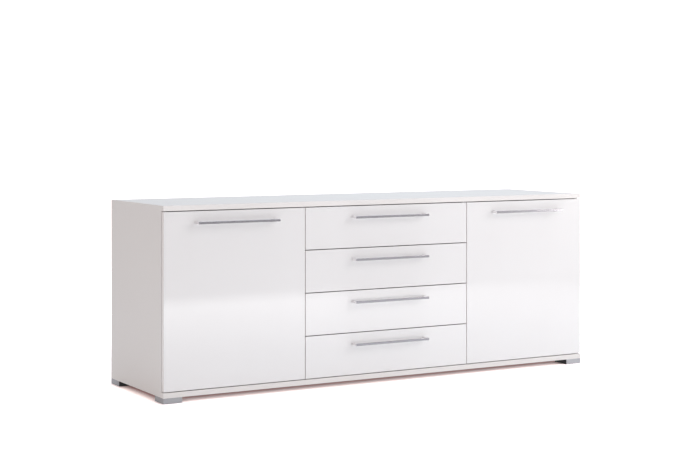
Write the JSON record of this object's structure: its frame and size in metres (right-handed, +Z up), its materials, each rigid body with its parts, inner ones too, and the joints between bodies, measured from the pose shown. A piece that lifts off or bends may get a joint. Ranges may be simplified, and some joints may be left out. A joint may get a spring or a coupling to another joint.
{
  "type": "sideboard",
  "caption": "Long low white gloss sideboard with a hinged door at each end, a bank of drawers between them, slim bar handles and low corner feet.",
  "frame": {"origin": "on the floor, under the middle of the outer box, handles included", "axes": "+X to the right along the length, -Y out of the fronts, +Z up"},
  "size_m": [1.8, 0.482, 0.666],
  "materials": {
    "carcass_board": "white melamine-faced particle board, satin",
    "front_board": "white high-gloss foil on fibreboard",
    "back_board": "white lacquered hardboard, matt",
    "drawer_board": "white foil-wrapped particle board, matt",
    "handle_metal": "brushed, satin anodised",
    "foot_plastic": "silver-grey faced moulded plastic",
    "hinge_steel": "nickel-plated pressed steel",
    "runner_steel": "white epoxy-coated rolled steel"
  },
  "bodies": {
    "carcass": {"bottom_panel": "carcass_board", "top_panel": "carcass_board", "left_side_panel": "carcass_board", "right_side_panel": "carcass_board", "left_partition": "carcass_board", "right_partition": "carcass_board", "left_shelf": "carcass_board", "right_shelf": "carcass_board", "centre_back_panel": "back_board", "left_back_panel": "back_board", "right_back_panel": "back_board", "front_left_foot": "foot_plastic", "front_right_foot": "foot_plastic", "rear_left_foot": "foot_plastic", "rear_right_foot": "foot_plastic", "left_lower_hinge_arm": "hinge_steel", "left_upper_hinge_arm": "hinge_steel", "right_lower_hinge_arm": "hinge_steel", "right_upper_hinge_arm": "hinge_steel", "drawer_1_left_channel": "runner_steel", "drawer_1_right_channel": "runner_steel", "drawer_2_left_channel": "runner_steel", "drawer_2_right_channel": "runner_steel", "drawer_3_left_channel": "runner_steel", "drawer_3_right_channel": "runner_steel", "drawer_4_left_channel": "runner_steel", "drawer_4_right_channel": "runner_steel"},
    "left_door": {"left_door_panel": "front_board", "left_door_handle": "handle_metal", "left_lower_hinge_cup": "hinge_steel", "left_upper_hinge_cup": "hinge_steel"},
    "right_door": {"right_door_panel": "front_board", "right_door_handle": "handle_metal", "right_lower_hinge_cup": "hinge_steel", "right_upper_hinge_cup": "hinge_steel"},
    "drawer_1": {"drawer_1_front": "front_board", "drawer_1_handle": "handle_metal", "drawer_1_box": "drawer_board", "drawer_1_bottom": "back_board", "drawer_1_left_rail": "runner_steel", "drawer_1_right_rail": "runner_steel"},
    "drawer_2": {"drawer_2_front": "front_board", "drawer_2_handle": "handle_metal", "drawer_2_box": "drawer_board", "drawer_2_bottom": "back_board", "drawer_2_left_rail": "runner_steel", "drawer_2_right_rail": "runner_steel"},
    "drawer_3": {"drawer_3_front": "front_board", "drawer_3_handle": "handle_metal", "drawer_3_box": "drawer_board", "drawer_3_bottom": "back_board", "drawer_3_left_rail": "runner_steel", "drawer_3_right_rail": "runner_steel"},
    "drawer_4": {"drawer_4_front": "front_board", "drawer_4_handle": "handle_metal", "drawer_4_box": "drawer_board", "drawer_4_bottom": "back_board", "drawer_4_left_rail": "runner_steel", "drawer_4_right_rail": "runner_steel"}
  },
  "joints": [
    {"name": "left_door_hinge", "type": "hinge", "parent": "carcass", "child": "left_door", "pos_m": [-0.893, -0.209, 0.343], "axis": [0, 0, -1], "range_deg": [0, 100]},
    {"name": "right_door_hinge", "type": "hinge", "parent": "carcass", "child": "right_door", "pos_m": [0.893, -0.209, 0.343], "axis": [0, 0, 1], "range_deg": [0, 100]},
    {"name": "drawer_1_slide", "type": "slide", "parent": "carcass", "child": "drawer_1", "axis": [0, -1, 0], "range_m": [0, 0.3]},
    {"name": "drawer_2_slide", "type": "slide", "parent": "carcass", "child": "drawer_2", "axis": [0, -1, 0], "range_m": [0, 0.3]},
    {"name": "drawer_3_slide", "type": "slide", "parent": "carcass", "child": "drawer_3", "axis": [0, -1, 0], "range_m": [0, 0.3]},
    {"name": "drawer_4_slide", "type": "slide", "parent": "carcass", "child": "drawer_4", "axis": [0, -1, 0], "range_m": [0, 0.3]}
  ]
}
